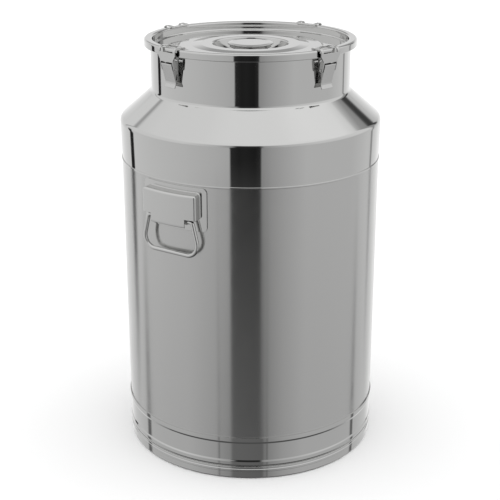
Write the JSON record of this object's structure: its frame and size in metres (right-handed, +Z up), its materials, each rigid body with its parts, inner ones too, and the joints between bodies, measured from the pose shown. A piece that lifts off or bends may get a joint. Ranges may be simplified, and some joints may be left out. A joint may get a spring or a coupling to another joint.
{
  "type": "milk can",
  "caption": "Stainless steel milk can with a drawn shoulder, pressed lid on a seal, over-centre lid latches and folding wire carrying handles.",
  "frame": {"origin": "on the can's axis at floor level", "axes": "+Z up the can's axis, -Y towards the front, +X to the right"},
  "size_m": [0.3824, 0.3824, 0.6194],
  "materials": {
    "satin_steel": "satin stainless steel, rolled round the drum",
    "polished_steel": "mirror-polished stainless steel",
    "latch_steel": "barrel-polished stainless pressings",
    "handle_steel": "bright stainless pressings",
    "wire_steel": "bright drawn stainless wire",
    "silicone": "matt food-grade silicone"
  },
  "bodies": {
    "can": {"drum_shell": "satin_steel", "shoulder_and_neck": "polished_steel", "bottom_shell": "polished_steel", "foot_ring": "polished_steel", "latch_front_left_bracket": "latch_steel", "latch_front_left_pivot_pin": "latch_steel", "latch_front_right_bracket": "latch_steel", "latch_front_right_pivot_pin": "latch_steel", "latch_back_right_bracket": "latch_steel", "latch_back_right_pivot_pin": "latch_steel", "latch_back_left_bracket": "latch_steel", "latch_back_left_pivot_pin": "latch_steel", "handle_front_plate": "handle_steel", "handle_front_cover": "handle_steel", "handle_front_saddles": "handle_steel", "handle_back_plate": "handle_steel", "handle_back_cover": "handle_steel", "handle_back_saddles": "handle_steel"},
    "lid": {"lid_pan": "polished_steel", "lid_seal": "silicone", "knob_cap": "polished_steel", "knob_post": "polished_steel"},
    "lever_front_left": {"latch_front_left_lever": "latch_steel", "latch_front_left_hook_rivets": "latch_steel"},
    "hook_front_left": {"latch_front_left_hook": "latch_steel"},
    "lever_front_right": {"latch_front_right_lever": "latch_steel", "latch_front_right_hook_rivets": "latch_steel"},
    "hook_front_right": {"latch_front_right_hook": "latch_steel"},
    "lever_back_right": {"latch_back_right_lever": "latch_steel", "latch_back_right_hook_rivets": "latch_steel"},
    "hook_back_right": {"latch_back_right_hook": "latch_steel"},
    "lever_back_left": {"latch_back_left_lever": "latch_steel", "latch_back_left_hook_rivets": "latch_steel"},
    "hook_back_left": {"latch_back_left_hook": "latch_steel"},
    "bail_front": {"handle_front_bail": "wire_steel"},
    "bail_back": {"handle_back_bail": "wire_steel"}
  },
  "joints": [
    {"name": "lid_lift", "type": "slide", "parent": "can", "child": "lid", "axis": [0, 0, 1], "range_m": [0, 0.15]},
    {"name": "lever_front_left", "type": "hinge", "parent": "can", "child": "lever_front_left", "pos_m": [-0.11066, -0.10464, 0.5935], "axis": [-0.6871, 0.7266, 0], "range_deg": [0, 95]},
    {"name": "hook_front_left", "type": "hinge", "parent": "lever_front_left", "child": "hook_front_left", "pos_m": [-0.11037, -0.10437, 0.5885], "axis": [-0.6871, 0.7266, 0], "range_deg": [-143, 0]},
    {"name": "lever_front_right", "type": "hinge", "parent": "can", "child": "lever_front_right", "pos_m": [0.10484, -0.11048, 0.5935], "axis": [-0.7254, -0.6884, 0], "range_deg": [0, 95]},
    {"name": "hook_front_right", "type": "hinge", "parent": "lever_front_right", "child": "hook_front_right", "pos_m": [0.10456, -0.11018, 0.5885], "axis": [-0.7254, -0.6884, 0], "range_deg": [-143, 0]},
    {"name": "lever_back_right", "type": "hinge", "parent": "can", "child": "lever_back_right", "pos_m": [0.09271, 0.12083, 0.5935], "axis": [0.7934, -0.6088, 0], "range_deg": [0, 95]},
    {"name": "hook_back_right", "type": "hinge", "parent": "lever_back_right", "child": "hook_back_right", "pos_m": [0.09247, 0.12051, 0.5885], "axis": [0.7934, -0.6088, 0], "range_deg": [-143, 0]},
    {"name": "lever_back_left", "type": "hinge", "parent": "can", "child": "lever_back_left", "pos_m": [-0.11615, 0.09851, 0.5935], "axis": [0.6468, 0.7627, 0], "range_deg": [0, 95]},
    {"name": "hook_back_left", "type": "hinge", "parent": "lever_back_left", "child": "hook_back_left", "pos_m": [-0.11585, 0.09825, 0.5885], "axis": [0.6468, 0.7627, 0], "range_deg": [-143, 0]},
    {"name": "bail_front", "type": "hinge", "parent": "can", "child": "bail_front", "pos_m": [-0.11028, -0.16227, 0.393], "axis": [-0.8271, 0.5621, 0], "range_deg": [0, 90]},
    {"name": "bail_back", "type": "hinge", "parent": "can", "child": "bail_back", "pos_m": [0.11028, 0.16227, 0.393], "axis": [0.8271, -0.5621, 0], "range_deg": [0, 90]}
  ],
  "couplings": [
    {"joint": "hook_front_left", "follows": "lever_front_left", "ratio": -1.5},
    {"joint": "hook_front_right", "follows": "lever_front_right", "ratio": -1.5},
    {"joint": "hook_back_right", "follows": "lever_back_right", "ratio": -1.5},
    {"joint": "hook_back_left", "follows": "lever_back_left", "ratio": -1.5}
  ]
}
